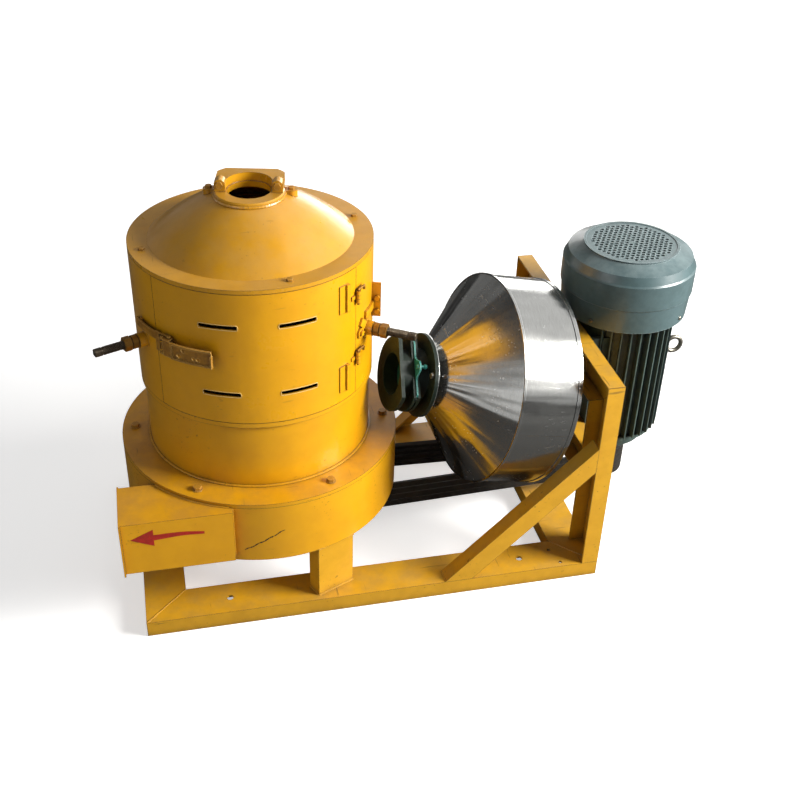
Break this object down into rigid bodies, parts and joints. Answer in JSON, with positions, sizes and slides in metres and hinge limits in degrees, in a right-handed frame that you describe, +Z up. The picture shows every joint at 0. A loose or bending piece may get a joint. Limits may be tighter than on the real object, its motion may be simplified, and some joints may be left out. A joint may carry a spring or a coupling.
{
  "type": "rice huller",
  "caption": "Vertical emery-roller rice huller on a channel base, belt-driven by an upright motor, with hinged milling chamber door and detachable feed hopper.",
  "frame": {"origin": "floor level under the middle of the whole machine, middle taken over its outline", "axes": "+X along the base from the round milling machine towards the motor, +Y from the chute side towards the back, +Z up"},
  "size_m": [1.5105, 0.693, 1.008],
  "materials": {
    "yellow_paint": "golden yellow enamel over steel, worn to bare metal at edges",
    "zinc_steel": "zinc-plated steel, a little dull",
    "bare_iron": "cast iron, machined where it runs",
    "ground_steel": "ground steel",
    "emery": "black silicon-carbide emery, coarse",
    "screen_steel": "thin steel screen",
    "belt_rubber": "black rubber belts with worn cloth edges",
    "motor_paint": "grey-green enamel, dusty",
    "fan_plastic": "black moulded fan",
    "grille_steel": "pierced sheet, painted grey-green",
    "hopper_steel": "bright stainless sheet, scratched",
    "neck_paint": "dark green enamel on a casting",
    "gate_paint": "blue-green enamel on the gate plate"
  },
  "bodies": {
    "machine": {"front_rail": "yellow_paint", "rear_rail": "yellow_paint", "left_rail": "yellow_paint", "right_rail": "yellow_paint", "front_post": "yellow_paint", "rear_post": "yellow_paint", "top_bar": "yellow_paint", "motor_bar": "yellow_paint", "diagonal_braces": "yellow_paint", "drum_legs": "yellow_paint", "lower_drum": "yellow_paint", "discharge_chute": "yellow_paint", "drum_cover": "yellow_paint", "cover_bolts": "zinc_steel", "base_casing": "yellow_paint", "deck_ring": "yellow_paint", "left_post": "yellow_paint", "right_post": "yellow_paint", "rear_cover": "yellow_paint", "hinge_pins": "zinc_steel", "adjuster_lock_nuts": "zinc_steel", "bearing_housing": "bare_iron", "shaft_bearings": "ground_steel", "sieve_screen": "screen_steel", "v_belts": "belt_rubber", "motor_frame": "motor_paint", "lower_end_shield": "motor_paint", "upper_end_shield": "motor_paint", "fan_cover": "motor_paint", "fan_grille": "grille_steel", "terminal_box": "motor_paint", "eye_bolt": "zinc_steel", "motor_bolts": "zinc_steel"},
    "rotor": {"main_shaft": "ground_steel", "sweeper": "yellow_paint", "roller_sleeve": "zinc_steel", "lower_emery_roller": "emery", "middle_emery_roller": "emery", "upper_emery_roller": "emery", "feed_cone": "bare_iron", "shaft_nuts": "zinc_steel", "driven_pulley": "bare_iron"},
    "motor_rotor": {"motor_shaft": "ground_steel", "cooling_fan": "fan_plastic", "motor_pulley": "bare_iron"},
    "door": {"front_door": "yellow_paint"},
    "latch_lever_body": {"latch_lever": "yellow_paint"},
    "latch_link_body": {"latch_link": "zinc_steel"},
    "left_bar": {"left_resistance_bar": "zinc_steel"},
    "left_rod": {"left_adjuster_rod": "zinc_steel"},
    "right_bar": {"right_resistance_bar": "zinc_steel"},
    "right_rod": {"right_adjuster_rod": "zinc_steel"},
    "lid_body": {"lid": "yellow_paint", "inlet_collar": "yellow_paint", "seat_bolts": "zinc_steel"},
    "hopper": {"hopper_shell": "hopper_steel", "feed_neck": "neck_paint", "neck_screws": "zinc_steel"},
    "gate": {"slide_gate": "gate_paint"}
  },
  "joints": [
    {"name": "rotor_spin", "type": "hinge", "parent": "machine", "child": "rotor", "pos_m": [-0.383, 0, 0.4], "axis": [0, 0, 1], "continuous": true},
    {"name": "motor_spin", "type": "hinge", "parent": "machine", "child": "motor_rotor", "pos_m": [0.56, 0, 0.4], "axis": [0, 0, 1], "continuous": true},
    {"name": "door_hinge", "type": "hinge", "parent": "machine", "child": "door", "pos_m": [-0.1715, -0.19178, 0.7], "axis": [0, 0, 1], "range_deg": [0, 110]},
    {"name": "latch_lever_hinge", "type": "hinge", "parent": "door", "child": "latch_lever_body", "pos_m": [-0.60656, -0.19094, 0.715], "axis": [0, 0, -1], "range_deg": [0, 130]},
    {"name": "latch_link_hinge", "type": "hinge", "parent": "latch_lever_body", "child": "latch_link_body", "pos_m": [-0.59118, -0.19973, 0.715], "axis": [0, 0, -1], "range_deg": [-130, 0]},
    {"name": "left_bar_slide", "type": "slide", "parent": "machine", "child": "left_bar", "axis": [-0.9239, -0.3827, 0], "range_m": [-0.005, 0.01]},
    {"name": "left_rod_spin", "type": "hinge", "parent": "left_bar", "child": "left_rod", "pos_m": [-0.66016, -0.11481, 0.686], "axis": [-0.9239, -0.3827, 0], "range_deg": [-720, 1440]},
    {"name": "right_bar_slide", "type": "slide", "parent": "machine", "child": "right_bar", "axis": [0.8526, -0.5225, 0], "range_m": [-0.005, 0.01]},
    {"name": "right_rod_spin", "type": "hinge", "parent": "right_bar", "child": "right_rod", "pos_m": [-0.12721, -0.15675, 0.686], "axis": [0.8526, -0.5225, 0], "range_deg": [-720, 1440]},
    {"name": "lid_lift", "type": "slide", "parent": "machine", "child": "lid_body", "axis": [0, 0, 1], "range_m": [0, 0.35]},
    {"name": "hopper_lift", "type": "slide", "parent": "machine", "child": "hopper", "axis": [0, 0.35, 0.9367], "range_m": [0, 0.4]},
    {"name": "gate_slide", "type": "slide", "parent": "hopper", "child": "gate", "axis": [0.2249, -0.6884, 0.6895], "range_m": [0, 0.11]}
  ],
  "couplings": [
    {"joint": "motor_spin", "follows": "rotor_spin", "ratio": 1.6609},
    {"joint": "latch_link_hinge", "follows": "latch_lever_hinge", "ratio": -1},
    {"joint": "left_bar_slide", "follows": "left_rod_spin", "m_per_rad": 0.00039789},
    {"joint": "right_bar_slide", "follows": "right_rod_spin", "m_per_rad": 0.00039789}
  ]
}
